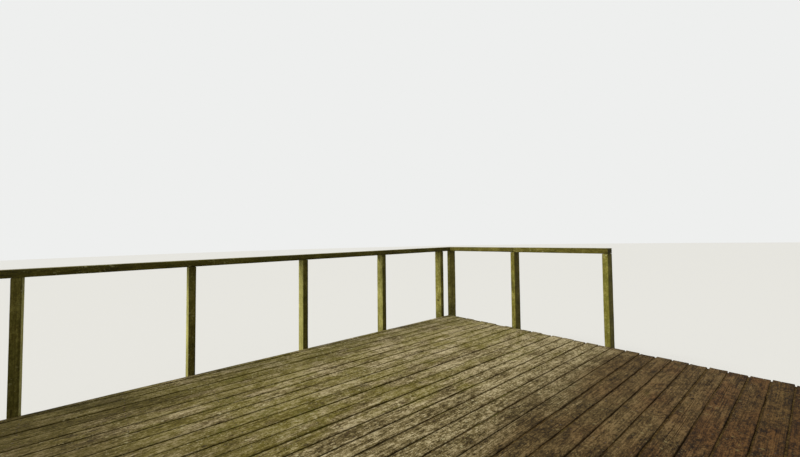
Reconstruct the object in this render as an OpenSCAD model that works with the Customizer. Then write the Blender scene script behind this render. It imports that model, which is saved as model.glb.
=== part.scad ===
// Timber deck on piles with a post-and-rail handrail along its water side and round both ends.
// X runs along the deck boards, +Y points to the water side, Z is up from the feet of the piles.
// The origin is at ground level, in the middle of the deck's overall outline.

/* [Deck boards] */
// Number of full-width deck boards
board_n = 35; // [28:1:48]
// Width of a deck board
board_w = 100; // [80:1:140]
// Thickness of a deck board
board_t = 40; // [25:1:50]
// Drainage gap between deck boards
board_gap = 8; // [3:1:15]
// Width of the narrow board along the water side
edge_w = 50; // [40:1:90]
// Most that a board end falls short of the deck's end
end_stagger = 18; // [0:1:30]
// Worn arris along the top edges of boards and rails
arris = 3; // [1:0.5:5]

/* [Deck frame] */
// Height of the deck surface above the feet of the piles
deck_top = 600; // [500:5:1500]
// Thickness of a joist
joist_t = 50; // [40:1:60]
// Depth of a joist
joist_h = 100; // [90:1:200]
// Thickness of a bearer
bearer_t = 50; // [40:1:70]
// Depth of a bearer
bearer_h = 150; // [100:1:220]
// Length of joist or bearer left beyond the posts
tail = 15; // [0:1:60]
// Side of a square pile
pile_w = 125; // [110:1:180]
// Number of piles under a bearer
pile_n = 4; // [3:1:6]
// Distance from the deck's end to the middle of the first pile
pile_inset = 300; // [150:5:500]

/* [Handrail] */
// Height of the rail's top above the deck surface
rail_top = 867; // [700:1:1200]
// Width of the timber used for the rails and their posts
rail_w = 100; // [75:1:150]
// Thickness of the handrail
rail_t = 50; // [35:1:75]
// Thickness of a post, along the rail
post_t = 50; // [40:1:75]
// Worn arris down the corners of the posts
post_arris = 2; // [1:0.5:5]
// Number of bays along the water side
bays = 5; // [3:1:6]
// Spacing of the posts along the water side
bay = 924; // [750:1:1200]
// Spacing of the posts at the two ends of the deck
end_bay = 938; // [750:1:1200]
// Distance from the last water-side post to the deck's end
end_over = 121; // [85:1:250]
// Clearance between the board ends and the posts of the end rails
end_clear = 5; // [0:1:20]
// Open joint between two lengths of rail
joint_gap = 2; // [1:0.5:5]
// How far the handrail has leaned over along the deck, measured at its posts' tops
lean = 14; // [-15:1:15]

/* [Hidden] */
deck_l = bays * bay + post_t + 2 * end_over;
deck_d = board_n * (board_w + board_gap) + edge_w;
board_z = deck_top - board_t;
joist_z = board_z - joist_h;
bearer_z = joist_z - bearer_h;
rail_z = deck_top + rail_top - rail_t;

// Land edge and water edge of the boards, and the deck's two ends
land_y = -(deck_d + rail_w + tail) / 2;
water_y = land_y + deck_d;
end_x = deck_l / 2;
// Inner face of the end rails and their posts
rail_x = end_x + end_clear;
rail_run = 2 * (rail_x + rail_w);

// Bearers stand in rows: one at each end post's line, and one along the land edge
end_posts = 2;
rows = floor((deck_d - 2 * pile_w) / end_bay) + 1;
pile_step = (deck_l - 2 * pile_inset) / (pile_n - 1);
// Boards are laid in strips of about equal width
strips = 4;
strip_n = ceil(board_n / strips);
// A joist stands beside each water-side post, one between, and one at each end
joist_n = 2 * bays + 3;
lap_h = rail_t / 2;
// Overshoot of a cut past the surface it opens
cut = 1;

function board_y(i) = land_y + i * (board_w + board_gap);
function short_of(i, phase) = end_stagger * (0.5 + 0.5 * sin(137 * i + phase));
function post_x(i) = -(bays * bay + post_t) / 2 + i * bay;
// The joist is on the side of its post that faces the middle of the deck
function post_joist_x(i) = i > bays / 2 ? post_x(i) - joist_t : post_x(i) + post_t;
function joist_x(j) =
    j == 0 ? -end_x
    : j == joist_n - 1 ? end_x - joist_t
    : j % 2 == 1 ? post_joist_x((j - 1) / 2)
    : (post_joist_x(j / 2 - 1) + post_joist_x(j / 2)) / 2;
// Water-side face of the bearer in row r, counted from the water
function row_y(r) = r < rows ? water_y - r * end_bay : land_y + bearer_t;

// Cross-section of a sawn bar whose two top edges are worn off
module worn_section(w, h) {
    polygon([[0, 0], [w, 0], [w, h - arris], [w - arris, h], [arris, h], [0, h - arris]]);
}

module bar_along_x(l, w, h) {
    rotate([90, 0, 90]) linear_extrude(height = l) worn_section(w, h);
}

module bar_along_y(l, w, h) {
    translate([0, l, 0]) rotate([90, 0, 0]) linear_extrude(height = l) worn_section(w, h);
}

// Upright post with its corners worn off, w along X and t along Y.
// It is plumb where it is bolted to the deck's frame, and leans above the boards.
module post(w, t) {
    e = post_arris;
    corners = [[e, 0], [w - e, 0], [w, e], [w, t - e], [w - e, t], [e, t], [0, t - e], [0, e]];
    free_h = rail_z - deck_top;
    translate([0, 0, bearer_z]) linear_extrude(height = deck_top - bearer_z) polygon(corners);
    translate([0, 0, deck_top]) multmatrix([[1, 0, lean / free_h, 0], [0, 1, 0, 0], [0, 0, 1, 0]])
        linear_extrude(height = free_h) polygon(corners);
}

module board(i) {
    left = short_of(i, 20);
    right = short_of(i, 200);
    translate([left - end_x, board_y(i), board_z])
        bar_along_x(deck_l - left - right, board_w, board_t);
}

module deck_boards(s) {
    color("tan") for (i = [(s - 1) * strip_n : min(s * strip_n, board_n) - 1]) board(i);
}

module edge_board() {
    color("darkkhaki") translate([-end_x, water_y - edge_w, board_z])
        bar_along_x(deck_l, edge_w, board_t);
}

// Joists lie across the bearers, and those beside a post run out past the deck to carry it
module joist(j) {
    reach = j % 2 == 1 ? rail_w + tail : 0;
    color("peru") translate([joist_x(j), land_y, joist_z])
        cube([joist_t, deck_d + reach, joist_h]);
}

// A row that carries end posts runs out past the deck at both ends
module bearer(r) {
    reach = r <= end_posts ? end_clear + rail_w + tail : 0;
    color("sienna") translate([-end_x - reach, row_y(r) - bearer_t, bearer_z])
        cube([deck_l + 2 * reach, bearer_t, bearer_h]);
}

// The pile head is checked out on one side, and the bearer sits in the check
module pile(r) {
    back = r < rows ? pile_w - bearer_t : 0;
    check_y = r < rows ? 0 : -cut;
    difference() {
        translate([-pile_w / 2, -back, 0]) cube([pile_w, pile_w, joist_z]);
        translate([-pile_w / 2 - cut, check_y, bearer_z])
            cube([pile_w + 2 * cut, bearer_t + cut, bearer_h + cut]);
    }
}

module pile_row(r) {
    color("saddlebrown") for (k = [0 : pile_n - 1])
        translate([-end_x + pile_inset + k * pile_step, row_y(r) - bearer_t, 0]) pile(r);
}

// A water-side post stands in the angle between its joist and the outer bearer
module water_post(p) {
    color("olivedrab") translate([post_x(p), water_y, 0]) post(post_t, rail_w);
}

// An end post stands against the bearer of its row, past the board ends
module right_post(p) {
    color("olivedrab") translate([rail_x, row_y(p), 0]) post(rail_w, post_t);
}

module left_post(p) {
    color("olivedrab") translate([-rail_x - rail_w, row_y(p), 0]) post(rail_w, post_t);
}

// The long rail keeps its upper half over each corner, and the end rails their lower half
module water_rail() {
    color("darkolivegreen") translate([lean, 0, 0]) difference() {
        translate([-rail_run / 2, water_y, rail_z]) bar_along_x(rail_run, rail_w, rail_t);
        for (side = [0, 1]) mirror([side, 0, 0])
            translate([rail_x, water_y - cut, rail_z - cut])
                cube([rail_w + cut, rail_w + 2 * cut, lap_h + cut]);
    }
}

// Each length of end rail runs from the middle of one post to the middle of the next
module end_rail(p) {
    joint_y = row_y(p - 1) + post_t / 2 - joint_gap / 2;
    far_y = p == 1 ? water_y + rail_w : joint_y;
    near_y = p == end_posts ? row_y(p) : row_y(p) + post_t / 2 + joint_gap / 2;
    color("darkolivegreen") difference() {
        translate([rail_x, near_y, rail_z]) bar_along_y(far_y - near_y, rail_w, rail_t);
        if (p == 1)
            translate([rail_x - cut, water_y, rail_z + lap_h])
                cube([rail_w + 2 * cut, rail_w + cut, lap_h + cut]);
    }
}

module right_rail(p) {
    translate([lean, 0, 0]) end_rail(p);
}

module left_rail(p) {
    translate([lean, 0, 0]) mirror([1, 0, 0]) end_rail(p);
}

for (s = [1 : strips]) deck_boards(s);
edge_board();
for (j = [1 : joist_n]) joist(j - 1);
for (r = [1 : rows + 1]) bearer(r - 1);
for (r = [1 : rows + 1]) pile_row(r - 1);
for (p = [1 : bays + 1]) water_post(p - 1);
for (p = [0 : end_posts]) left_post(p);
for (p = [0 : end_posts]) right_post(p);
water_rail();
for (p = [1 : end_posts]) left_rail(p);
for (p = [1 : end_posts]) right_rail(p);
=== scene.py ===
from math import cos, pi, radians, sin, sqrt

import bpy
import numpy as np
from mathutils import Matrix, Vector


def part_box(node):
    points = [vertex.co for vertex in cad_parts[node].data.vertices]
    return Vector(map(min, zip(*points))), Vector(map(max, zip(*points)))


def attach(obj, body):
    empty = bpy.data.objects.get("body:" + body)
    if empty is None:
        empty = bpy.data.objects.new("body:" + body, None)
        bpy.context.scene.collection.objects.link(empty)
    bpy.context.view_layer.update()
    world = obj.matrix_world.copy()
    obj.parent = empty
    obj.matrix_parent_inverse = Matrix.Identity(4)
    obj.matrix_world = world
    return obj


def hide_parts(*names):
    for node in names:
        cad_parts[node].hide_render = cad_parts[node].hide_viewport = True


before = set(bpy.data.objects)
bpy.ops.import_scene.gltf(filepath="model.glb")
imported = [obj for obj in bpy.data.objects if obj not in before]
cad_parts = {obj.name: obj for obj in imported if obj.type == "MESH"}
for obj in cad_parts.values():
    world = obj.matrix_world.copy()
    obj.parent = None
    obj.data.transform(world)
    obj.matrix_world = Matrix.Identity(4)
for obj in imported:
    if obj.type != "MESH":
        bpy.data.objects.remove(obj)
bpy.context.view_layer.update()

# Timber deck on piles with a post-and-rail handrail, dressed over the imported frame.
# Metres. X runs along the deck boards, +Y points to the water side, Z is up from the piles' feet.

# ---------------------------------------------------------------- sizes that the frame doesn't give
BOARDS = 35
STRIPS = 4               # nodes that hold the boards
BOARD_W = 0.100
BOARD_GAP = 0.008
END_STAGGER = 0.018      # the most that a board falls short of the deck's end
STAGGER_TURN = 137       # degrees from one board to the next
JOISTS = 13
ROWS = 5                 # rows of piles, each with its bearer
PILES = 4                # piles in a row
PILE_W = 0.125
WATER_POSTS = 6
END_POSTS = 3            # posts along each end
FLUSH = 0.001            # faces closer than this are flush

EDGE_LO, EDGE_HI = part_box("edge_board")
DECK_TOP = EDGE_HI.z
LAND_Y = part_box("deck_boards_1")[0].y
WATER_Y = EDGE_HI.y
END_X = EDGE_HI.x
POST_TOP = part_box("water_post_1")[1].z
RAIL_LO, RAIL_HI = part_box("water_rail")
LEAN = (RAIL_LO.x + RAIL_HI.x) / 2

# ---------------------------------------------------------------- the photograph's camera
SENSOR = 36.0            # mm
LENS = 15.92             # mm
NEAR = 0.02
CAMERA_AT = Vector((END_X - 3.434, -1.248, 1.6075))
# Heading from +X towards +Y, pitch upwards, and roll that lifts the right side
HEADING, PITCH, ROLL = radians(49.904), radians(1.446), radians(-1.307)


def make_camera():
    ahead = Vector((cos(HEADING), sin(HEADING), 0))
    side = Vector((sin(HEADING), -cos(HEADING), 0))
    up = Vector((0, 0, 1))
    view = ahead * cos(PITCH) + up * sin(PITCH)
    head = up * cos(PITCH) - ahead * sin(PITCH)
    right = side * cos(ROLL) + head * sin(ROLL)
    top = head * cos(ROLL) - side * sin(ROLL)
    data = bpy.data.cameras.new("camera")
    data.lens, data.sensor_width, data.sensor_fit = LENS, SENSOR, "HORIZONTAL"
    data.clip_start = NEAR
    camera = bpy.data.objects.new("camera", data)
    bpy.context.scene.collection.objects.link(camera)
    turn = Matrix((right, top, -view)).transposed().to_4x4()
    camera.matrix_world = Matrix.Translation(CAMERA_AT) @ turn
    bpy.context.scene.camera = camera


# ---------------------------------------------------------------- random numbers
SEED = 7341
KINDS = ("board", "edge_board", "joist", "bearer", "pile", "water_post", "left_post", "right_post",
         "water_rail", "left_rail", "right_rail", "water_rail_nails", "dirt")
END_SPLIT = (0.03, 0.14)     # least and greatest length of a split at an end


def seeded(kind, *numbers):
    """Random numbers of its own for each timber, so that a change to one leaves the rest alone."""
    return np.random.default_rng([SEED, KINDS.index(kind) + 1, *numbers])


def stray(rng, most):
    return rng.uniform(-most, most)


def wander(x, spacing, rng):
    """A value between -1 and 1 at each x, which changes smoothly over that spacing."""
    start = float(np.min(x)) - spacing
    values = rng.uniform(-1, 1, int((float(np.max(x)) - start) / spacing) + 3)
    t = (x - start) / spacing
    i = t.astype(int)
    f = t - i
    f = f * f * (3 - 2 * f)
    return values[i] * (1 - f) + values[i + 1] * f


def bumps(x, per_metre, half, rng, ends=0.0):
    """Rounded humps from 0 to 1 at random places along x, for cracks and chips.

    half: least and greatest half length of a hump
    ends: chance that a split also runs in from an end
    """
    lo, hi = float(np.min(x)), float(np.max(x))
    out = np.zeros_like(x)
    for _ in range(rng.poisson(per_metre * (hi - lo))):
        size = rng.uniform(*half)
        out = np.maximum(out, rng.uniform(0.5, 1) * (1 - ((x - rng.uniform(lo, hi)) / size) ** 2))
    for edge in (lo, hi):
        if rng.random() < ends:
            out = np.maximum(out, 1 - np.abs(x - edge) / rng.uniform(*END_SPLIT))
    return np.clip(out, 0, 1)


# ---------------------------------------------------------------- mesh code for sawn timber
# World axis of a timber's length, of its width and of its thickness
AXES = {"x": (0, 1, 2), "y": (1, 0, 2), "z": (2, 0, 1)}
STEP = 0.035             # between cross-sections
STEP_CLEAR = 0.004       # least distance from a cross-section to a change of section
# Near an end: distances from it, how far the sides round off there, and its unevenness
END_STEPS = (0.0, 0.0015, 0.005, 0.014, 0.03)
END_ROUND = (0.0013, 0.0003, 0.0, 0.0, 0.0)
END_RAGGED = (1.0, 0.6, 0.3, 0.1, 0.0)
END_REACH = 0.08         # how far the dark at an end reaches
EDGE_REACH = 0.012       # how far the marks of an edge reach
CHIP = (0.008, 0.05)     # least and greatest half length
CRACK = (0.03, 0.22)
CRACK_SHUT = 0.0003      # half width of a closed crack
CRACK_OPENS = 0.0009     # how much more the widest one has
CRACK_STRAYS = 0.04      # as a share of the timber's side
THIN_SIDE = 0.045        # a side narrower than this has no cracks
NAIL_SINK = 0.0012
NAIL_DENT = 0.006        # half width of the dent at a nail


def tube_faces(rings, around):
    """Faces of a closed tube whose points come ring by ring."""
    i, j = np.meshgrid(np.arange(rings - 1), np.arange(around), indexing="ij")
    k = (j + 1) % around
    quads = np.stack([i * around + j, (i + 1) * around + j, (i + 1) * around + k, i * around + k],
                     -1)
    last = (rings - 1) * around
    caps = [list(range(around)), list(range(last, last + around))[::-1]]
    return quads.reshape(-1, 4).tolist() + caps


class Timber:
    """One length of sawn and weathered timber, as a closed mesh along one axis.

    parts: its length cut into stretches (a0, a1, c0, c1, d0, d1), a along it, c across, d its depth
    arris: how far its edges are rounded
    cup: how hollow its top face is, or how crowned where this is negative
    cracks, crack_depth: drying cracks in a metre of each line of them, and how deep the widest is
    chips: chips in a metre of each edge
    wear: how far its sides have worn back
    ragged: how uneven its ends are
    end_splits: chance that a line of cracks starts with a split at an end
    nails: lines of nails along its top face, each a list of (a, c)
    heart: whether it holds the middle of the log
    step: distance between its cross-sections
    """

    def __init__(self, axis, parts, rng, arris=0.003, cup=0.0, cracks=0.5, crack_depth=0.007,
                 chips=0.8, wear=0.0008, ragged=0.001, end_splits=0.4, nails=(), heart=False,
                 step=STEP):
        self.rng, self.nails, self.cup = rng, nails, cup
        self.cracks, self.crack_depth, self.end_splits = cracks, crack_depth, end_splits
        rows = self._stations(parts, {a for line in nails for a, _ in line}, step)
        a, c0, c1, d0, d1 = np.array(rows).T
        ahead, behind = a - parts[0][0], parts[-1][1] - a
        from_end = np.minimum(ahead, behind)

        # every side sinks a little, never outside the sawn size
        sink = [wear * (0.5 + 0.5 * wander(a, 0.6, rng)) + 0.3 * wear * (1 + wander(a, 0.09, rng))
                for _ in range(4)]
        d1, c1, d0, c0 = d1 - sink[0], c1 - sink[1], d0 + sink[2], c0 + sink[3]
        corner = [arris * (1 + 0.28 * wander(a, 0.16, rng))
                  + 0.8 * arris * bumps(a, chips, CHIP, rng) for _ in range(4)]
        blunt = np.interp(from_end, END_STEPS, END_ROUND)

        # the sides in turn: the top, the one at c1, the bottom, the one at c0
        columns, edges, stains = [], [], []
        for side in range(4):
            length = (d1 - d0) if side % 2 else (c1 - c0)
            along, depth, stain = self._side(side, a, length, c0)
            near, far = corner[side], corner[(side + 1) % 4]
            mid = near * (1 - 1 / sqrt(2))
            along = [mid + blunt, near, *along, length - far]
            depth = [mid, 0 * a, *depth, 0 * a]
            stain = [0 * a, 0 * a, *stain, 0 * a]
            for p, h, s in zip(along, depth, stain):
                h = h + blunt
                columns.append([(c0 + p, d1 - h), (c1 - h, d1 - p),
                                (c1 - p, d0 + h), (c0 + h, d0 + p)][side])
                edges.append(np.clip(1 - np.minimum(p, length - p) / EDGE_REACH, 0, 1))
                stains.append(s)

        count, around = len(a), len(columns)
        back = rng.uniform(0, ragged, (2, around))
        inward = np.where((ahead < behind)[:, None], back[0], -back[1])
        local = np.stack([a[:, None] + inward * np.interp(from_end, END_STEPS, END_RAGGED)[:, None],
                          np.stack([c for c, _ in columns], 1),
                          np.stack([d for _, d in columns], 1)], 2)
        self.points = np.empty((count * around, 3))
        self.points[:, list(AXES[axis])] = local.reshape(-1, 3)
        faces = tube_faces(count, around)
        # the order of axes for a timber along y mirrors it
        self.faces = [face[::-1] for face in faces] if axis == "y" else faces

        middle = np.array([0, *((parts[0][k] + parts[0][k + 1]) / 2 for k in (2, 4))])
        if heart:
            pith = rng.uniform(-0.02, 0.02, 2)
        else:
            pith = stray(rng, 0.035), rng.choice([-1, 1]) * rng.uniform(0.02, 0.08)
        # each point's place in the log, so that no two timbers have the same grain
        self.grain = (local - middle - (0, *pith) + (rng.uniform(0, 40), 0, 0)).reshape(-1, 3)
        # how near each point is to a stain, to an end and to an edge
        at_end = np.clip(1 - from_end / END_REACH, 0, 1)
        self.wear = np.stack([np.stack(stains, 1), np.repeat(at_end[:, None], around, 1),
                              np.stack(edges, 1)], 2).reshape(-1, 3)
        # three random numbers that are the same all over the timber
        self.stick = np.tile(rng.random(3), (count * around, 1))

    @staticmethod
    def _stations(parts, nailed, step):
        """(a, c0, c1, d0, d1) of each cross-section, with two at a step in the timber's section."""
        a0, a1 = parts[0][0], parts[-1][1]
        wanted = list(np.linspace(a0, a1, max(2, int((a1 - a0) / step))))
        for at in sorted(nailed):
            wanted = [w for w in wanted if abs(w - at) > 2 * NAIL_DENT]
            wanted += [at - NAIL_DENT, at, at + NAIL_DENT]
        clear = END_STEPS[-1] + STEP_CLEAR
        wanted = [w for w in wanted if a0 + clear < w < a1 - clear]
        wanted += [a0 + e for e in END_STEPS] + [a1 - e for e in END_STEPS]
        rows = []
        for s0, s1, *section in parts:
            inside = [w for w in wanted if s0 + STEP_CLEAR < w < s1 - STEP_CLEAR]
            first = [w for w in wanted if s0 <= w <= s0 + STEP_CLEAR] if s0 == a0 else [s0]
            last = [w for w in wanted if s1 - STEP_CLEAR <= w <= s1] if s1 == a1 else [s1]
            rows += [(w, *section) for w in sorted(first + inside + last)]
        return rows

    def _side(self, side, a, length, c0):
        """Distances across one side, depths below it and stains of the columns that it carries."""
        rng = self.rng
        along, depth, stain = [], [], []

        def column(p, h=0 * a, s=0 * a):
            along.append(p)
            depth.append(h)
            stain.append(s)

        def crack(share):
            at = length * (share + CRACK_STRAYS * wander(a, 0.5, rng))
            gape = bumps(a, self.cracks, CRACK, rng, self.end_splits)
            half = CRACK_SHUT + CRACK_OPENS * gape
            column(at - half)
            column(at, self.crack_depth * gape, gape)
            column(at + half)

        if side == 0 and self.nails:
            for k, line in enumerate(self.nails):
                places, offsets = zip(*line)
                at = np.interp(a, places, offsets) - c0
                hit = np.isin(a, places).astype(float)
                column(at - NAIL_DENT)
                column(at, NAIL_SINK * hit, hit)
                column(at + NAIL_DENT)
                if k == 0:
                    for share in ((0.4, 0.6) if len(self.nails) == 2 else (0.75,)):
                        crack(share + 0.04 * rng.uniform(-1, 1))
        elif float(length.min()) < THIN_SIDE:
            column(0.5 * length)
        else:
            for sound, cracked in ((0.15, 0.36), (0.5, 0.64)):
                column(sound * length)
                crack(cracked + 0.05 * rng.uniform(-1, 1))
            column(0.85 * length)
        if side == 0 and self.cup:
            bend = abs(self.cup) * (0.6 + 0.4 * wander(a, 1.3, rng))
            for k, p in enumerate(along):
                out = (2 * p / length - 1) ** 2
                depth[k] = depth[k] + bend * (out if self.cup < 0 else 1 - out)
        return along, depth, stain


# ---------------------------------------------------------------- pieces of the scene
TIMBER_CREASE = 38       # degrees between two faces whose edge looks sharp
SMALL_CREASE = 30


def mesh_of(name, forms):
    """One mesh from several closed forms, each (points, faces)."""
    points, faces = [], []
    for form_points, form_faces in forms:
        base = len(points)
        points += [tuple(p) for p in form_points]
        faces += [[v + base for v in face] for face in form_faces]
    mesh = bpy.data.meshes.new(name)
    mesh.from_pydata(points, [], faces)
    return mesh


def add_piece(name, mesh, material, crease, nodes=()):
    mesh.validate()
    mesh.shade_smooth()
    mesh.set_sharp_from_angle(angle=radians(crease))
    mesh.materials.append(material)
    piece = bpy.data.objects.new(name, mesh)
    bpy.context.scene.collection.objects.link(piece)
    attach(piece, "root")
    if nodes:
        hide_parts(*nodes)


def add_timbers(name, timbers, material, slot, *nodes):
    """One piece from several timbers. It stands for those nodes of the frame."""
    mesh = mesh_of(name, [(t.points, t.faces) for t in timbers])
    for key in ("grain", "wear", "stick"):
        layer = mesh.attributes.new(key, "FLOAT_VECTOR", "POINT")
        layer.data.foreach_set("vector", np.concatenate([getattr(t, key) for t in timbers]).ravel())
    add_piece(name, mesh, material, TIMBER_CREASE, nodes)


def add_forms(name, forms, material):
    """One piece, which replaces nothing, from several small forms."""
    add_piece(name, mesh_of(name, forms), material, SMALL_CREASE)


# ---------------------------------------------------------------- shader nodes
class Graph:
    """Short names for the shader nodes that the materials need."""

    def __init__(self, name):
        self.material = bpy.data.materials.new(name)
        self.material.use_nodes = True
        self.tree = self.material.node_tree
        self.tree.nodes.clear()

    def node(self, kind, sockets=None, **settings):
        made = self.tree.nodes.new("ShaderNode" + kind)
        for key, value in settings.items():
            setattr(made, key, value)
        for key, value in (sockets or {}).items():
            self.put(made.inputs[key], value)
        return made

    def put(self, socket, value):
        if isinstance(value, bpy.types.NodeSocket):
            self.tree.links.new(value, socket)
        else:
            socket.default_value = value

    def math(self, operation, a, b=0.0):
        return self.node("Math", {0: a, 1: b}, operation=operation).outputs[0]

    def add(self, a, b):
        return self.math("ADD", a, b)

    def times(self, a, b):
        return self.math("MULTIPLY", a, b)

    def swing(self, value, size):
        """A noise value made to swing round zero."""
        return self.times(self.math("SUBTRACT", value, 0.5), size)

    def total(self, *terms):
        out = terms[0]
        for term in terms[1:]:
            out = self.add(out, term)
        return out

    def most(self, *terms):
        out = terms[0]
        for term in terms[1:]:
            out = self.math("MAXIMUM", out, term)
        return out

    def vector_math(self, operation, a, b):
        return self.node("VectorMath", {0: a, 1: b}, operation=operation).outputs[0]

    def scaled(self, vector, by):
        return self.vector_math("MULTIPLY", vector, by)

    def length(self, vector):
        return self.node("VectorMath", {0: vector}, operation="LENGTH").outputs["Value"]

    def split(self, vector):
        return self.node("SeparateXYZ", {0: vector}).outputs

    def join(self, x, y, z):
        return self.node("CombineXYZ", {0: x, 1: y, 2: z}).outputs[0]

    def noise(self, at, by, detail, rough):
        """Noise from about 0.25 to 0.75 at a vector stretched by `by`."""
        return self.node("TexNoise", {"Vector": self.scaled(at, by), "Scale": 1.0, "Detail": detail,
                                      "Roughness": rough}).outputs[0]

    def cells(self, at, by):
        """Cells with a point each, at a vector stretched by `by`."""
        return self.node("TexVoronoi", {"Vector": self.scaled(at, by), "Scale": 1.0,
                                        "Randomness": 1.0}).outputs

    def span(self, value, low, high, to_low=0.0, to_high=1.0):
        return self.node("MapRange", {0: value, 1: low, 2: high, 3: to_low, 4: to_high},
                         interpolation_type="SMOOTHSTEP").outputs[0]

    def mix(self, factor, a, b, blend="MIX"):
        made = self.node("Mix", data_type="RGBA", blend_type=blend)
        for key, value in ((0, factor), (6, a), (7, b)):
            self.put(made.inputs[key], value)
        return made.outputs[2]

    def tinted(self, colour, tint, share=1.0):
        return self.mix(share, colour, tint, "MULTIPLY")

    def ramp(self, value, *stops):
        made = self.node("ValToRGB", {0: value})
        elements = made.color_ramp.elements
        while len(elements) < len(stops):
            elements.new(0.5)
        for element, (position, colour) in zip(elements, stops):
            element.position, element.color = position, colour
        return made.outputs[0]

    def finish(self, colour, roughness, height=None, bump=0.0, distance=0.0, **fixed):
        """The finished material; bump and distance say how strongly the height shows."""
        shader = self.node("BsdfPrincipled", {"Base Color": colour, "Roughness": roughness, **fixed})
        if height is not None:
            self.put(shader.inputs["Normal"],
                     self.node("Bump", {"Strength": bump, "Distance": distance,
                                        "Height": height}).outputs[0])
        self.node("OutputMaterial", {"Surface": shader.outputs[0]})
        return self.material


def rgb(red, green, blue):
    """A colour written as it shows on a screen, 0 to 255, as the shader's linear colour."""
    parts = [value / 255 for value in (red, green, blue)]
    return tuple(p / 12.92 if p <= 0.04045 else ((p + 0.055) / 1.055) ** 2.4 for p in parts) + (1.0,)


def between(share, a, b):
    """A fixed colour between two fixed colours."""
    return tuple(p * (1 - share) + q * share for p, q in zip(a, b))


# ---------------------------------------------------------------- materials
# Noises: waves in a metre along the timber and both ways across it, octaves, roughness.
# These follow the log that each timber was sawn from,
KNOT_RIM = (60, 60, 60), 2.0, 0.5
RING_SWAY = (1.6, 7.0, 7.0), 2.0, 0.5
RING_RIPPLE = (5, 110, 110), 2.0, 0.5
FIBRE = (16, 620, 620), 3.0, 0.65
STREAK = (2.4, 130, 130), 3.0, 0.6
MOTTLE = (14, 34, 34), 3.0, 0.7
GRIT = (48, 84, 84), 3.0, 0.7
DUST = (130, 210, 210), 2.0, 0.7
BARE = (4.5, 36, 36), 4.0, 0.65
ALGAE_STREAK = (2.6, 70, 70), 3.0, 0.6
MOULD = (60, 170, 170), 3.0, 0.7
BLOTCH = (9, 34, 34), 4.0, 0.7
END_STAIN = (30, 60, 60), 2.0, 0.5
# and these run on from one timber to the next.
CLOUD = (3.6, 7.0, 7.0), 3.0, 0.6
WARMTH = (2.4, 6.0, 6.0), 3.0, 0.5
ALGAE_CLOUD = (1.1, 2.4, 2.4), 3.0, 0.6
ALGAE_PATCH = (4.6, 8.0, 8.0), 3.0, 0.6
LICHEN_FIELD = (3.1, 5.2, 4.1), 3.0, 0.6
MOSS_FIELD = (3.4, 6.2, 5.0), 3.0, 0.6
MOSS_TUFT = (55, 85, 70), 4.0, 0.75
ZONE_EDGE = (1.5, 3.0, 3.0), 4.0, 0.65
ZINC_CRYSTAL = (240, 240, 240), 3.0, 0.6
RUST = (130, 130, 130), 4.0, 0.7
CRUMB = (260, 260, 260), 4.0, 0.75
LUMP = (60, 60, 60), 3.0, 0.6
MOSSY_DIRT = (4.0, 7.0, 5.0), 3.0, 0.6

KNOT_CELL = (0.6, 0.11, 0.2)         # each cell of the log may have one knot
NO_KNOT = 0.45                       # share of the cells that have none
KNOT_RADIUS = (0.013, 0.007)         # where a knot begins and where it is darkest
BULGE_REACH, BULGE = 0.07, 0.016     # the rings' bulge round a knot
RING = 0.0052                        # width of a growth ring
TONES = (0.05, 0.5, 0.95)            # tones of the wood's dark, base and pale colours
LICHEN = ((80, 0.60), (30, 0.72))    # cells in a metre, and the share of them with no crust
BARE_TINT, STAIN = rgb(214, 196, 160), rgb(34, 24, 4)


def knots(g, grain, knot_depth):
    """How dark the knots are, and how far the growth rings bulge round them."""
    cells = g.cells(grain, tuple(1 / size for size in KNOT_CELL))
    away = g.vector_math("SUBTRACT", grain, g.scaled(cells["Position"], KNOT_CELL))
    away = g.length(g.scaled(away, (0.7, 1.0, knot_depth)))
    away = g.add(away, g.swing(g.noise(grain, *KNOT_RIM), 0.006))
    real = g.math("GREATER_THAN", g.split(cells["Color"])[0], NO_KNOT)
    return (g.times(g.span(away, *KNOT_RADIUS), real),
            g.times(g.span(away, BULGE_REACH, 0.0, 0.0, BULGE), real))


def late_wood(g, grain, bulge):
    """The dark lines of the growth rings, which run round the pith and are drawn out along it."""
    _, across, depth = g.split(grain)
    sway = g.swing(g.noise(grain, *RING_SWAY), 0.022)
    turns = g.times(g.total(g.length(g.join(0.0, across, depth)), sway, bulge), 2 * pi / RING)
    turns = g.add(turns, g.times(g.noise(grain, *RING_RIPPLE), 2.6))
    return g.span(g.math("SINE", turns), 0.1, 1.0)


def lichen_crusts(g, place, speckle):
    """Round crusts of two sizes, in the parts where lichen grows at all."""
    crusts = 0.0
    for per_metre, without in LICHEN:
        cells = g.cells(place, (per_metre,) * 3)
        ragged = g.times(g.noise(place, (4 * per_metre,) * 3, 3.0, 0.7), 0.7)
        crust = g.span(g.add(cells["Distance"], ragged), 0.66, 0.46)
        here = g.times(g.span(g.noise(place, *LICHEN_FIELD), 0.44, 0.58),
                       g.math("GREATER_THAN", g.split(cells["Color"])[1], without))
        crusts = g.most(crusts, g.times(g.times(crust, here), speckle))
    return crusts


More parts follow.
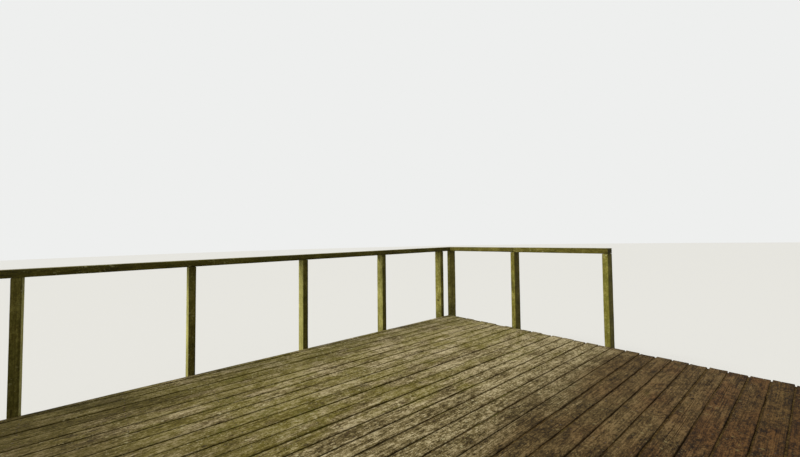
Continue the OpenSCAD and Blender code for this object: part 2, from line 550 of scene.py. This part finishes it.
def weathered_wood(name, site, dark, base, pale, warm, algae, moss, lichen, growth,
                   damp_and_shade_tint=rgb(132, 112, 56), speckle=1.0, knot_depth=0.6):
    """Sawn timber left outdoors: rings and fibres, knots, stains, algae, moss and lichen.

    site(graph, place, facing) gives (extra algae, share of the warm colour, damp and painted shade,
    paler, contrast of the grain) from the place on the object and the way that the surface faces.
    growth is the algae all over, and speckle the share of mould and lichen. A small knot_depth
    gives knots that run deep into the timber.
    """
    g = Graph(name)
    grain = g.node("Attribute", attribute_name="grain").outputs["Vector"]
    stick = g.split(g.node("Attribute", attribute_name="stick").outputs["Vector"])
    stain, end, edge = g.split(g.node("Attribute", attribute_name="wear").outputs["Vector"])
    where = g.node("TexCoord")
    place = where.outputs["Object"]

    def by_grain(noise):
        return g.noise(grain, *noise)

    def by_place(noise):
        return g.noise(place, *noise)

    knot, bulge = knots(g, grain, knot_depth)
    late = late_wood(g, grain, bulge)
    fibre, streak, mottle = by_grain(FIBRE), by_grain(STREAK), by_grain(MOTTLE)
    grit, dust, cloud = by_grain(GRIT), by_grain(DUST), by_place(CLOUD)

    extra, redder, damp, paler, contrast = site(g, place, where.outputs["Normal"])
    uneven = g.total(g.swing(fibre, 0.8), g.swing(streak, 1.0), g.swing(mottle, 1.3),
                     g.swing(grit, 1.6), g.swing(dust, 1.3), g.times(late, -0.16))
    tone = g.total(g.times(uneven, contrast), g.swing(cloud, 0.9), g.swing(stick[0], 0.17), paler,
                   0.52)
    wood = g.ramp(tone, *zip(TONES, (dark, base, pale)))

    patchy = g.span(g.total(by_place(WARMTH), g.times(stick[2], 0.30)), 0.47, 0.79, 0.45, 1.0)
    wood = g.mix(g.times(redder, patchy), wood, g.tinted(wood, warm, 0.75))

    # bare patches where the grey surface has worn off to browner wood
    bare = g.span(by_grain(BARE), 0.57, 0.72)
    wood = g.mix(g.times(bare, 0.3), wood, g.tinted(wood, BARE_TINT))

    # algae in clouds over several boards and in streaks along each, as grainy as the wood under it
    green = g.total(growth, extra, g.swing(by_place(ALGAE_CLOUD), 1.8),
                    g.swing(by_place(ALGAE_PATCH), 1.9), g.swing(by_grain(ALGAE_STREAK), 0.8),
                    g.times(stick[1], 0.14), g.times(edge, 0.14))
    film = g.ramp(tone, *zip(TONES, (between(0.75, algae, dark), algae, between(0.5, algae, pale))))
    wood = g.mix(g.times(g.span(green, 0.25, 0.85), 0.85), wood, film)

    # dark stains: nails, cracks, ends, knots, blotches and specks of mould, and darker along every
    # edge, partly dirt and partly painted shade
    mould = g.times(g.span(by_grain(MOULD), 0.59, 0.7), speckle)
    blotch = g.span(by_grain(BLOTCH), 0.6, 0.74)
    end_dark = g.times(end, by_grain(END_STAIN))
    stains_and_edge_shade = g.total(g.times(stain, 0.8), g.times(mould, 0.5), g.times(blotch, 0.4),
                   g.times(end_dark, 0.6), g.times(knot, 0.75), g.times(g.times(edge, edge), 0.3))
    wood = g.mix(g.math("MINIMUM", stains_and_edge_shade, 0.9), wood, between(0.35, dark, STAIN))

    # lichen in pale crusts, and moss in small cushions where it is greenest
    crusts = lichen_crusts(g, place, speckle)
    wood = g.mix(g.times(crusts, 0.75), wood, lichen)
    tufts = by_place(MOSS_TUFT)
    colony = g.span(g.total(by_place(MOSS_FIELD), g.times(edge, 0.05)), 0.56, 0.68)
    cushion = g.times(g.span(tufts, 0.47, 0.6), g.times(colony, g.span(green, 0.3, 0.9)))
    mossy = g.mix(g.span(tufts, 0.5, 0.68), between(0.5, moss, dark), moss)
    wood = g.mix(g.times(cushion, 0.8), wood, mossy)

    # darker and tinted where damp and where shade is painted on
    wood = g.mix(damp, wood, g.tinted(wood, damp_and_shade_tint))
    rough = g.span(tone, 0.2, 0.9, 0.8, 0.95)
    height = g.total(g.times(late, 0.55), g.times(fibre, 0.9), g.times(streak, 0.5),
                     g.times(grit, 0.5), g.times(cushion, 1.6), g.times(crusts, 0.5),
                     g.times(mould, -0.4))
    return g.finish(wood, rough, height, 0.55, 0.0016, **{"Specular IOR Level": 0.2})


def metal(name, colour, rust_amount):
    """Dull zinc with rust coming through."""
    g = Graph(name)
    place = g.node("TexCoord").outputs["Object"]
    crystal = g.noise(place, *ZINC_CRYSTAL)
    rust = g.span(g.noise(place, *RUST), 0.62 - rust_amount, 0.72 - rust_amount)
    zinc = g.mix(g.span(crystal, 0.35, 0.65), colour, g.tinted(colour, rgb(190, 192, 190)))
    rusty = g.mix(g.span(crystal, 0.3, 0.7), rgb(70, 36, 20), rgb(116, 62, 32))
    return g.finish(g.mix(rust, zinc, rusty), g.span(rust, 0, 1, 0.45, 0.85),
                    g.total(g.times(rust, 0.8), g.times(crystal, 0.4)), 0.4, 0.0006, Metallic=0.55)


def packed_dirt(name):
    """Earth, leaf mould and moss that have collected between the boards."""
    g = Graph(name)
    place = g.node("TexCoord").outputs["Object"]
    y = g.split(place)[1]
    crumb, lump = g.noise(place, *CRUMB), g.noise(place, *LUMP)
    grainy = g.add(crumb, g.swing(lump, 0.8))
    earth = g.ramp(grainy, (0.3, rgb(36, 24, 6)), (0.52, rgb(70, 52, 20)), (0.74, rgb(118, 98, 56)))
    mossy = g.ramp(grainy, (0.3, rgb(46, 44, 4)), (0.55, rgb(88, 84, 20)), (0.74, rgb(134, 130, 46)))
    green = g.total(g.span(y, -0.7, 0.9, -0.25, 0.12), g.noise(place, *MOSSY_DIRT))
    return g.finish(g.mix(g.span(green, 0.42, 0.6), earth, mossy), 0.95, g.total(crumb, lump), 0.7,
                    0.003, **{"Specular IOR Level": 0.15})


# ---------------------------------------------------------------- finishes
def towards(g, part, sign, amount=1.0):
    """That amount where the surface faces up an axis (sign 1) or down it (-1)."""
    return g.span(part, sign * 0.3, sign * 0.8, 0.0, amount)


def deck_site(g, place, facing):
    """Algae by the water and at the left end, red-brown by the land and darker there with damp and
    painted shade, painted shade at the left end, bleached at the right, and painted shade on the
    boards' sides and undersides."""
    x, y, _ = g.split(place)
    up = g.split(facing)[2]
    green = g.total(g.span(y, -0.5, 0.9, -0.5, 0.2), g.span(x, 0.4, -1.6, 0.0, 0.3))
    # the zones have ragged edges, and those along the deck lie a little askew
    ragged = g.swing(g.noise(place, *ZONE_EDGE), 2.6)
    zone = g.total(y, g.times(x, -0.1), g.times(ragged, 0.3))
    red = g.span(zone, -0.05, -1.0)
    # darker towards the land: partly damp, partly painted shade
    shaded = g.span(zone, 0.02, -0.42)
    by_land = g.add(g.times(shaded, 0.78), g.span(zone, -0.8, -1.5, 0.0, 0.14))
    # painted shade towards the left end
    shade_by_left_end = g.span(g.add(x, ragged), 0.2, -1.7, 0.0, 0.64)
    # painted shade on the boards' sides and undersides
    shade_on_sides = g.span(up, 0.7, 0.1, 0.0, 0.35)
    underside = g.span(up, -0.3, -0.9)
    # so damp here holds painted shade as well as real damp
    damp = g.most(by_land, shade_by_left_end, shade_on_sides, underside)
    bleached = g.add(g.span(x, 0.5, 1.7, 0.0, 0.10),
                     g.times(g.span(x, -1.0, 0.0), g.span(y, 0.6, 1.1, 0.0, 0.04)))
    contrast = g.total(g.times(shaded, -0.10), g.span(x, -0.4, 0.6, 0.0, 0.10), 1.05)
    return green, red, damp, bleached, contrast


def post_site(g, place, facing):
    """Painted shade on the sides that face the deck, darker on those that face the water and at the
    foot, and paler on the sides that face the left end, partly bleached and partly painted sunlight,
    most of all on the middle posts."""
    x, y, _ = g.split(facing)
    along, _, height = g.split(place)
    left = towards(g, x, -1)
    # the sides that face the left end are paler: partly bleaching, partly painted sunlight
    bleached = g.total(g.span(along, 2.5, 2.4, -0.04, 0.12), g.span(along, 2.3, -0.5, 0.0, 0.5),
                       g.span(along, -0.7, -1.3, 0.0, -0.42))
    foot = g.span(height, DECK_TOP + 0.3, DECK_TOP, 0.0, 0.25)
    # painted shade on the sides that face the deck; darker on those facing the water and at the foot
    damp = g.most(g.add(towards(g, y, -1, 0.62), towards(g, y, 1, 0.42)), foot)
    return g.times(left, 0.1), 0.0, damp, g.times(left, bleached), 0.45


def rail_site(g, place, facing):
    """Painted shade on the sides that face the deck and the left end."""
    x, y, _ = g.split(facing)
    # painted shade on the sides that face the deck and the left end
    return 0.0, 0.0, g.most(towards(g, y, -1, 0.51), towards(g, x, -1, 0.34)), 0.0, 0.5


def under_deck(g, place, facing):
    """The same all over."""
    return 0.0, 0.0, 0.0, 0.0, 0.8


BOARD_WOOD = weathered_wood(
    "weathered boards", deck_site, dark=rgb(52, 40, 8), base=rgb(120, 106, 66),
    pale=rgb(192, 178, 140), warm=rgb(212, 162, 130), algae=rgb(110, 101, 28),
    moss=rgb(106, 107, 24), lichen=rgb(196, 188, 146), growth=0.3, knot_depth=0.16)
RAIL_WOOD = weathered_wood(
    "weathered rails", rail_site, dark=rgb(52, 46, 3), base=rgb(104, 96, 32),
    pale=rgb(154, 146, 78), warm=rgb(200, 150, 122), algae=rgb(98, 96, 24),
    moss=rgb(120, 118, 36), lichen=rgb(176, 172, 124), growth=0.3, damp_and_shade_tint=rgb(126, 120, 20))
POST_WOOD = weathered_wood(
    "weathered posts", post_site, dark=rgb(60, 54, 6), base=rgb(128, 120, 48),
    pale=rgb(202, 196, 116), warm=rgb(200, 150, 122), algae=rgb(118, 115, 44),
    moss=rgb(112, 114, 38), lichen=rgb(192, 190, 140), growth=0.36, damp_and_shade_tint=rgb(124, 110, 18))
FRAME_WOOD = weathered_wood(
    "damp frame timber", under_deck, dark=rgb(46, 36, 20), base=rgb(98, 84, 54),
    pale=rgb(142, 126, 90), warm=rgb(200, 150, 122), algae=rgb(84, 84, 34),
    moss=rgb(112, 118, 38), lichen=rgb(150, 150, 112), growth=0.2, speckle=0.6)
ZINC = metal("weathered zinc", rgb(150, 152, 150), 0.02)
NAIL = metal("rusty nail", rgb(96, 88, 78), 0.14)
DIRT = packed_dirt("packed dirt and moss")


# ---------------------------------------------------------------- deck boards
NAIL_FROM_END = 0.04     # least distance
EDGE_NAIL_IN = 0.025     # from the edge board's water side
nail_heads = []          # where every nail's head goes


def middle_x(node):
    lo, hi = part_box(node)
    return (lo.x + hi.x) / 2


def short_of(i, phase):
    """How far the end of board i falls short of the deck's end."""
    return END_STAGGER * (0.5 + 0.5 * sin(radians(STAGGER_TURN * i + phase)))


def board_edge(i):
    """Where the land side of board i lies."""
    return LAND_Y + i * (BOARD_W + BOARD_GAP)


def over_joists(x0, x1, strays):
    """Where nails go along a board from x0 to x1."""
    return [min(max(x + off, x0 + NAIL_FROM_END), x1 - NAIL_FROM_END)
            for x, off in zip(joist_lines, strays)]


def deck_board(i):
    rng = seeded("board", i)
    x0, x1 = -END_X + short_of(i, 20), END_X - short_of(i, 200)
    y0 = board_edge(i) + stray(rng, 0.002)
    top = DECK_TOP - rng.uniform(0, 0.0022)
    along = over_joists(x0, x1, [stray(rng, 0.006) for _ in joist_lines])
    nails = [[(x, y0 + share * BOARD_W + stray(rng, 0.003)) for x in along]
             for share in (0.23, 0.77)]
    nail_heads.extend((x, y, top - NAIL_SINK) for line in nails for x, y in line)
    return Timber("x", [(x0, x1, y0, y0 + BOARD_W, EDGE_LO.z, top)], rng, arris=0.0035,
                  cup=rng.choice([-1, 1]) * rng.uniform(0.0004, 0.0022), cracks=0.55,
                  crack_depth=0.009, chips=1.8, wear=0.0011, ragged=0.0022, end_splits=0.5,
                  nails=nails)


def edge_board():
    along = over_joists(-END_X, END_X, [0.0] * JOISTS)
    nails = [[(x, WATER_Y - EDGE_NAIL_IN) for x in along]]
    nail_heads.extend((x, y, DECK_TOP - NAIL_SINK) for x, y in nails[0])
    return Timber("x", [(-END_X, END_X, EDGE_LO.y, WATER_Y, EDGE_LO.z, DECK_TOP)],
                  seeded("edge_board"), arris=0.004, cracks=0.4, wear=0.0012, nails=nails)


joist_lines = [middle_x(f"joist_{j}") for j in range(1, JOISTS + 1)]
per_strip = -(-BOARDS // STRIPS)
for s in range(STRIPS):
    strip = [deck_board(i) for i in range(s * per_strip, min((s + 1) * per_strip, BOARDS))]
    add_timbers(f"weathered_boards_{s + 1}", strip, BOARD_WOOD, "boards", f"deck_boards_{s + 1}")
add_timbers("weathered_edge_board", [edge_board()], BOARD_WOOD, "boards", "edge_board")


# ---------------------------------------------------------------- dirt in the gaps
DIRT_STEP = 0.015
DIRT_FROM_END = 0.02
DIRT_HALF = 0.0095       # half width, which reaches under the boards' rounded edges
DIRT_DEEP = 0.028        # from the boards' top to its underside
DIRT_ROUGH = (-0.0008, 0.0012)
# How far the dirt's top is below the boards, by how much of it there is
DIRT_LEVEL = (-0.3, 0.0, 0.1, 0.4, 0.8)
DIRT_TOP = (0.0240, 0.0150, 0.0105, 0.0080, 0.0055)
# Across a gap: place as a share of its half width, and how far below the dirt's top
DIRT_SECTION = [(-1.0, 0.0024), (-0.5, 0.0006), (0.0, 0.0), (0.5, 0.0006), (1.0, 0.0024)]
DIRT_UNDERSIDE = (0.8, -0.8)


def dirt_in_gap(i):
    """A closed ragged ridge of dirt in the gap after board i.

    There is more of it by the land, at the deck's ends and in the middle of the right half.
    """
    rng = seeded("dirt", i)
    middle = board_edge(i) + BOARD_W + BOARD_GAP / 2
    x = np.arange(-END_X + DIRT_FROM_END, END_X - DIRT_FROM_END, DIRT_STEP)
    x = x + rng.uniform(-0.25, 0.25, len(x)) * DIRT_STEP
    by_land = np.interp(middle, (-1.2, 0.0), (0.12, 0.0))
    by_end = 0.4 * np.clip((np.abs(x) - END_X + 0.4) / 0.4, 0, 1)
    by_right = (0.2 * np.interp(middle, (-0.3, 0.1, 1.0, 1.4), (0, 1, 1, 0))
                * np.clip(x / 0.8, 0, 1))
    level = (by_land + by_end + by_right + 0.3 * wander(x, 0.11, rng) + 0.3 * wander(x, 0.6, rng)
             + 0.27)
    top = np.interp(level, DIRT_LEVEL, DIRT_TOP)
    count, upper = len(x), len(DIRT_SECTION)
    around = upper + len(DIRT_UNDERSIDE)
    points = np.empty((count, around, 3))
    points[:, :, 0] = x[:, None] + rng.uniform(-0.0025, 0.0025, (count, around))
    for k, (share, below) in enumerate(DIRT_SECTION):
        bump = rng.uniform(*DIRT_ROUGH, count) if 0 < k < upper - 1 else 0.0
        points[:, k, 1] = middle + share * DIRT_HALF
        points[:, k, 2] = DECK_TOP - np.minimum(top + below + bump, DIRT_DEEP - 0.0004)
    for k, share in enumerate(DIRT_UNDERSIDE, upper):
        points[:, k, 1] = middle + share * DIRT_HALF
        points[:, k, 2] = DECK_TOP - DIRT_DEEP - rng.uniform(0, 0.003, count)
    return points.reshape(-1, 3), tube_faces(count, around)


# ---------------------------------------------------------------- joists, bearers and piles
def filling(axis, node, rng):
    """One timber that fills a node's box."""
    lo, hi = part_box(node)
    a, c, d = AXES[axis]
    return Timber(axis, [(lo[a], hi[a], lo[c], hi[c], lo[d], hi[d])], rng, step=0.08)


def pile_lines(r):
    """The middle of each pile in row r."""
    lo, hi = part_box(f"pile_row_{r}")
    return [lo.x + PILE_W / 2 + k * (hi.x - lo.x - PILE_W) / (PILES - 1) for k in range(PILES)]


def bearer_by_water(r):
    """Whether the bearer of row r is let into the water side of its piles, or else the land side."""
    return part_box(f"bearer_{r}")[1].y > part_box(f"pile_row_{r}")[1].y - FLUSH


def pile(r, k):
    """A square pile whose head is checked out for the bearer."""
    lo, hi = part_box(f"pile_row_{r}")
    bearer_lo, bearer_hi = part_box(f"bearer_{r}")
    x = pile_lines(r)[k]
    width = (x - PILE_W / 2, x + PILE_W / 2)
    head = (lo.y, bearer_lo.y) if bearer_by_water(r) else (bearer_hi.y, hi.y)
    return Timber("z", [(lo.z, bearer_lo.z, *width, lo.y, hi.y), (bearer_lo.z, hi.z, *width, *head)],
                  seeded("pile", r, k), arris=0.005, wear=0.0014, cracks=1.2, crack_depth=0.014,
                  heart=True, step=0.03)


for j in range(1, JOISTS + 1):
    add_timbers(f"sawn_joist_{j}", [filling("y", f"joist_{j}", seeded("joist", j))], FRAME_WOOD,
                "joists", f"joist_{j}")
for r in range(1, ROWS + 1):
    add_timbers(f"sawn_bearer_{r}", [filling("x", f"bearer_{r}", seeded("bearer", r))], FRAME_WOOD,
                "bearers", f"bearer_{r}")
for r in range(1, ROWS + 1):
    add_timbers(f"sawn_piles_{r}", [pile(r, k) for k in range(PILES)], FRAME_WOOD, "piles",
                f"pile_row_{r}")


# ---------------------------------------------------------------- posts and rails
RAIL_W = RAIL_HI.y - RAIL_LO.y
RAIL_CROWN = 0.0012
RAIL_WORDS = dict(arris=0.004, wear=0.0012, cracks=0.8, crack_depth=0.01, ragged=0.0015,
                  cup=-RAIL_CROWN)
RAIL_NAIL_IN = 0.0121    # from the ends of a short rail


def post(node, rng):
    """A post that is plumb below the boards and leans over above them."""
    lo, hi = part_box(node)
    made = Timber("z", [(lo.z, hi.z, lo.x, hi.x - LEAN, lo.y, hi.y)], rng, arris=0.0028, cracks=0.9,
                  crack_depth=0.008, wear=0.0009, step=0.025)
    above = np.clip((made.points[:, 2] - DECK_TOP) / (POST_TOP - DECK_TOP), 0, 1)
    made.points[:, 0] += LEAN * above
    return made


def rail_nails(places, edge, top, rng, along_y):
    """Two nails over each post, as two lines of (along the rail, across it)."""
    lines = [[(at + stray(rng, 0.006), edge + share * RAIL_W) for at in places]
             for share in (0.27, 0.73)]
    z = top - NAIL_SINK - RAIL_CROWN / 5
    nail_heads.extend((c, a, z) if along_y else (a, c, z) for line in lines for a, c in line)
    return lines


def water_rail():
    """The long rail keeps its upper half over each corner."""
    near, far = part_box("left_rail_1")[1].x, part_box("right_rail_1")[0].x
    half = (RAIL_LO.z + RAIL_HI.z) / 2
    section = (RAIL_LO.y, RAIL_HI.y)
    posts = ["left_post_1", *(f"water_post_{p}" for p in range(1, WATER_POSTS + 1)), "right_post_1"]
    places = [(lo.x + hi.x + LEAN) / 2 for lo, hi in map(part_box, posts)]
    nails = rail_nails(places, RAIL_LO.y, RAIL_HI.z, seeded("water_rail_nails"), along_y=False)
    return Timber("x", [(RAIL_LO.x, near, *section, half, RAIL_HI.z),
                        (near, far, *section, RAIL_LO.z, RAIL_HI.z),
                        (far, RAIL_HI.x, *section, half, RAIL_HI.z)],
                  seeded("water_rail"), nails=nails, **RAIL_WORDS)


def end_rail(node, rng):
    """The first length of end rail keeps its lower half under the long rail."""
    lo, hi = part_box(node)
    half = (lo.z + hi.z) / 2
    full = (lo.y, min(hi.y, WATER_Y), lo.x, hi.x, lo.z, hi.z)
    parts = [full] if hi.y <= WATER_Y else [full, (WATER_Y, hi.y, lo.x, hi.x, lo.z, half)]
    nails = rail_nails([full[0] + RAIL_NAIL_IN, full[1] - RAIL_NAIL_IN], lo.x, hi.z, rng,
                       along_y=True)
    return Timber("y", parts, rng, nails=nails, **RAIL_WORDS)


for side, count in (("water", WATER_POSTS), ("left", END_POSTS), ("right", END_POSTS)):
    for p in range(1, count + 1):
        node = f"{side}_post_{p}"
        add_timbers(f"weathered_{node}", [post(node, seeded(f"{side}_post", p))], POST_WOOD,
                    "posts", node)
add_timbers("weathered_water_rail", [water_rail()], RAIL_WOOD, "rails", "water_rail")
for side in ("left", "right"):
    for p in (1, 2):
        node = f"{side}_rail_{p}"
        add_timbers(f"weathered_{node}", [end_rail(node, seeded(f"{side}_rail", p))], RAIL_WOOD,
                    "rails", node)


# ---------------------------------------------------------------- nails and bolts
# Profiles of turned forms: pairs of radius and height
NAIL_HEAD = [(0.0036, -0.0006), (0.0038, 0.0002), (0.0030, 0.0007)]
CUP_HEAD = [(0.0135, -0.0005), (0.0140, 0.0008), (0.0130, 0.0028), (0.0100, 0.0047),
            (0.0055, 0.0058), (0.0015, 0.0061)]
WASHER = [(0.0320, -0.0004), (0.0325, 0.0004), (0.0325, 0.0026), (0.0318, 0.0030)]
NUT = [(0.0098, 0.0030), (0.0106, 0.0038), (0.0106, 0.0112), (0.0096, 0.0122)]
BOLT_END = [(0.0060, 0.0030), (0.0060, 0.0180), (0.0050, 0.0190)]
PILE_BOLT_OFF = 0.03     # each side of the pile's middle


def turned(at, axis, profile, sides, turn=0.0):
    """Points and faces of a closed form turned round an axis from a point on it."""
    axis = Vector(axis).normalized()
    u = axis.orthogonal().normalized()
    v = axis.cross(u)
    points, faces = [], []
    for radius, height in profile:
        for k in range(sides):
            angle = turn + 2 * pi * k / sides
            points.append(Vector(at) + axis * height + u * radius * cos(angle)
                          + v * radius * sin(angle))
    for ring in range(len(profile) - 1):
        lower, upper = ring * sides, (ring + 1) * sides
        for k in range(sides):
            n = (k + 1) % sides
            faces.append([lower + k, lower + n, upper + n, upper + k])
    last = (len(profile) - 1) * sides
    faces += [list(range(sides))[::-1], list(range(last, last + sides))]
    return points, faces


def cup_bolt(head, nut):
    """A cup-head bolt from the point under its head to the point under its nut's washer."""
    out = (Vector(head) - Vector(nut)).normalized()
    return [turned(head, out, CUP_HEAD, 20), turned(nut, -out, WASHER, 4, pi / 4),
            turned(nut, -out, NUT, 6), turned(nut, -out, BOLT_END, 12)]


def part_way(lo, hi, share):
    return lo + share * (hi - lo)


def post_bolts():
    """Each water-side post is bolted to its joist and to the outer bearer, each end post to its
    bearer."""
    out = []
    outer_lo, outer_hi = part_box("bearer_1")
    for p in range(1, WATER_POSTS + 1):
        post_lo, post_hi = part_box(f"water_post_{p}")
        joist_lo, joist_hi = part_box(f"joist_{2 * p}")
        if joist_lo.x > post_lo.x:
            head, nut = post_lo.x, joist_hi.x
        else:
            head, nut = post_hi.x - LEAN, joist_lo.x
        for across, up in ((0.3, 0.72), (0.7, 0.28)):
            y, z = part_way(post_lo.y, post_hi.y, across), part_way(joist_lo.z, joist_hi.z, up)
            out += cup_bolt((head, y, z), (nut, y, z))
        x, z = (post_lo.x + post_hi.x - LEAN) / 2, (outer_lo.z + outer_hi.z) / 2
        out += cup_bolt((x, post_hi.y, z), (x, outer_lo.y, z))
    for side in ("left", "right"):
        for p in range(1, END_POSTS + 1):
            post_lo, post_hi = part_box(f"{side}_post_{p}")
            bearer_lo, bearer_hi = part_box(f"bearer_{p}")
            for across, up in ((0.3, 0.75), (0.7, 0.25)):
                x = part_way(post_lo.x, post_hi.x - LEAN, across)
                z = part_way(bearer_lo.z, bearer_hi.z, up)
                out += cup_bolt((x, post_hi.y, z), (x, bearer_lo.y, z))
    return out


def pile_bolts():
    """Two bolts through each bearer and the head of each pile."""
    out = []
    for r in range(1, ROWS + 1):
        pile_lo, pile_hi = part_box(f"pile_row_{r}")
        bearer_lo, bearer_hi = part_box(f"bearer_{r}")
        head, nut = (bearer_hi.y, pile_lo.y) if bearer_by_water(r) else (bearer_lo.y, pile_hi.y)
        for middle in pile_lines(r):
            for off, up in ((-PILE_BOLT_OFF, 0.72), (PILE_BOLT_OFF, 0.28)):
                x, z = off + middle, part_way(bearer_lo.z, bearer_hi.z, up)
                out += cup_bolt((x, head, z), (x, nut, z))
    return out


add_forms("nail_heads", [turned(at, (0, 0, 1), NAIL_HEAD, 8) for at in nail_heads], NAIL)
add_forms("post_bolts", post_bolts(), ZINC)
add_forms("pile_bolts", pile_bolts(), ZINC)
add_forms("packed_dirt_and_moss", [dirt_in_gap(i) for i in range(BOARDS)], DIRT)

make_camera()


# ---------------------------------------------------------------- floor and light
FLOOR_R, FLOOR_Z = 60.0, -0.0005
FLOOR_RINGS, FLOOR_SPOKES = 6, 48
SKY_SEEN, SKY_LIGHT = rgb(238, 239, 238), 0.40
SUN_POWER, SUN_SPREAD, SUN_COLOUR = 2.9, radians(28), (1.0, 0.98, 0.94)
TOWARD_SUN = (-0.80, 0.20, 0.85)


def plain_stage():
    """A pale round floor, with finer faces near the object."""
    points = [(0.0, 0.0, FLOOR_Z)]
    faces = []
    for ring in range(1, FLOOR_RINGS + 1):
        reach = FLOOR_R * (ring / FLOOR_RINGS) ** 2
        points += [(reach * cos(angle), reach * sin(angle), FLOOR_Z)
                   for angle in (2 * pi * k / FLOOR_SPOKES for k in range(FLOOR_SPOKES))]
    for k in range(FLOOR_SPOKES):
        n = (k + 1) % FLOOR_SPOKES
        faces.append([0, 1 + k, 1 + n])
        for ring in range(FLOOR_RINGS - 1):
            inner, outer = 1 + ring * FLOOR_SPOKES, 1 + (ring + 1) * FLOOR_SPOKES
            faces.append([inner + k, outer + k, outer + n, inner + n])
    mesh = mesh_of("floor", [(points, faces)])
    mesh.materials.append(Graph("pale floor").finish(rgb(226, 226, 222), 0.9,
                                                     **{"Specular IOR Level": 0.1}))
    floor = bpy.data.objects.new("floor", mesh)
    bpy.context.scene.collection.objects.link(floor)


def soft_light():
    """A dim even sky, which the camera sees as a pale one, and a wide soft sun."""
    world = bpy.data.worlds.new("studio")
    bpy.context.scene.world = world
    world.use_nodes = True
    tree = world.node_tree
    tree.nodes.clear()
    seen, light = (tree.nodes.new("ShaderNodeBackground") for _ in range(2))
    for node, colour, strength in ((seen, SKY_SEEN, 1.0), (light, (1.0, 1.0, 1.0, 1.0), SKY_LIGHT)):
        node.inputs["Color"].default_value = colour
        node.inputs["Strength"].default_value = strength
    path = tree.nodes.new("ShaderNodeLightPath")
    either = tree.nodes.new("ShaderNodeMixShader")
    out = tree.nodes.new("ShaderNodeOutputWorld")
    tree.links.new(path.outputs["Is Camera Ray"], either.inputs[0])
    tree.links.new(light.outputs[0], either.inputs[1])
    tree.links.new(seen.outputs[0], either.inputs[2])
    tree.links.new(either.outputs[0], out.inputs[0])

    sun = bpy.data.lights.new("key", "SUN")
    sun.energy, sun.angle, sun.color = SUN_POWER, SUN_SPREAD, SUN_COLOUR
    key = bpy.data.objects.new("key", sun)
    bpy.context.scene.collection.objects.link(key)
    key.rotation_euler = Vector(TOWARD_SUN).normalized().to_track_quat("Z", "Y").to_euler()


plain_stage()
soft_light()
bpy.context.scene.view_settings.view_transform = "Standard"
